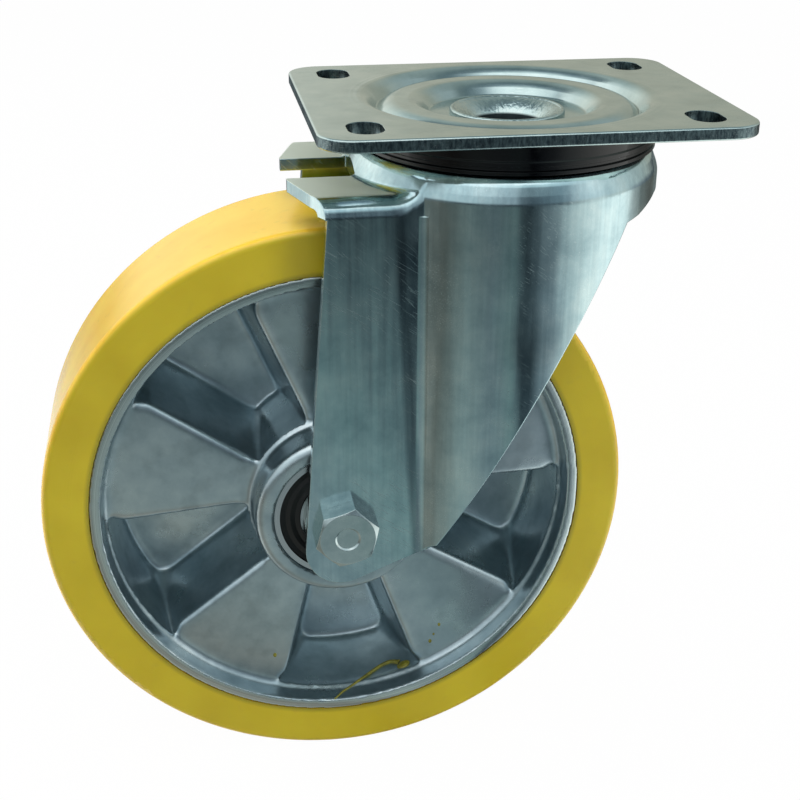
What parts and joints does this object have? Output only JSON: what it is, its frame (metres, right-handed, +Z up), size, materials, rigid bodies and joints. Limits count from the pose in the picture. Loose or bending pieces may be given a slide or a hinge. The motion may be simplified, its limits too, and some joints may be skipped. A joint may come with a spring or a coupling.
{
  "type": "swivel castor",
  "caption": "Swivel castor with a slotted mounting plate, a pressed steel fork and an aluminium wheel with a polyurethane tread.",
  "frame": {"origin": "centre of the mounting plate's top face, on the swivel axis", "axes": "+Z up out of the mounting face, the wheel trails towards -X, its axle along Y"},
  "size_m": [0.2275, 0.11, 0.235],
  "materials": {
    "zinc_plated_steel": "bright zinc plating, satin, lightly scratched",
    "fastener_steel": "bright zinc plating",
    "bearing_steel": "ground and polished",
    "cage_steel": "pressed",
    "cast_aluminium": "die cast, with a machined rim edge",
    "polyurethane": "cast, semi-gloss",
    "black_plastic": "moulded, glossy",
    "seal_rubber": "moulded, matt",
    "nylon": "moulded"
  },
  "bodies": {
    "mounting_head": {"top_plate": "zinc_plated_steel", "kingpin": "zinc_plated_steel", "lower_race_cup": "zinc_plated_steel", "swivel_seal": "black_plastic"},
    "swivel_fork": {"fork": "zinc_plated_steel", "axle_bolt": "fastener_steel", "axle_nut": "fastener_steel", "nut_insert": "nylon", "axle_tube": "zinc_plated_steel", "bearing_spacer": "zinc_plated_steel", "side_spacer_near": "zinc_plated_steel", "side_spacer_far": "zinc_plated_steel", "bearing_inner_ring_near": "bearing_steel", "bearing_inner_ring_far": "bearing_steel"},
    "wheel": {"wheel_centre": "cast_aluminium", "tread": "polyurethane", "bearing_outer_ring_near": "bearing_steel", "bearing_outer_seal_near": "seal_rubber", "bearing_inner_seal_near": "seal_rubber", "bearing_outer_ring_far": "bearing_steel", "bearing_outer_seal_far": "seal_rubber", "bearing_inner_seal_far": "seal_rubber"},
    "upper_ball_row": {"upper_balls": "bearing_steel"},
    "lower_ball_row": {"lower_balls": "bearing_steel"},
    "near_ball_set": {"bearing_balls_near": "bearing_steel", "bearing_cage_near": "cage_steel"},
    "far_ball_set": {"bearing_balls_far": "bearing_steel", "bearing_cage_far": "cage_steel"}
  },
  "joints": [
    {"name": "swivel", "type": "hinge", "parent": "mounting_head", "child": "swivel_fork", "pos_m": [0, 0, -0.015], "axis": [0, 0, 1], "continuous": true},
    {"name": "wheel_spin", "type": "hinge", "parent": "swivel_fork", "child": "wheel", "pos_m": [-0.06, 0, -0.135], "axis": [0, 1, 0], "continuous": true},
    {"name": "upper_row_orbit", "type": "hinge", "parent": "mounting_head", "child": "upper_ball_row", "pos_m": [0, 0, -0.0101], "axis": [0, 0, 1], "continuous": true},
    {"name": "lower_row_orbit", "type": "hinge", "parent": "mounting_head", "child": "lower_ball_row", "pos_m": [0, 0, -0.0195], "axis": [0, 0, 1], "continuous": true},
    {"name": "near_cage_spin", "type": "hinge", "parent": "swivel_fork", "child": "near_ball_set", "pos_m": [-0.06, -0.0215, -0.135], "axis": [0, 1, 0], "continuous": true},
    {"name": "far_cage_spin", "type": "hinge", "parent": "swivel_fork", "child": "far_ball_set", "pos_m": [-0.06, 0.0215, -0.135], "axis": [0, 1, 0], "continuous": true}
  ],
  "couplings": [
    {"joint": "upper_row_orbit", "follows": "swivel", "ratio": 0.5},
    {"joint": "lower_row_orbit", "follows": "swivel", "ratio": 0.5},
    {"joint": "near_cage_spin", "follows": "wheel_spin", "ratio": 0.6185},
    {"joint": "far_cage_spin", "follows": "wheel_spin", "ratio": 0.6185}
  ]
}
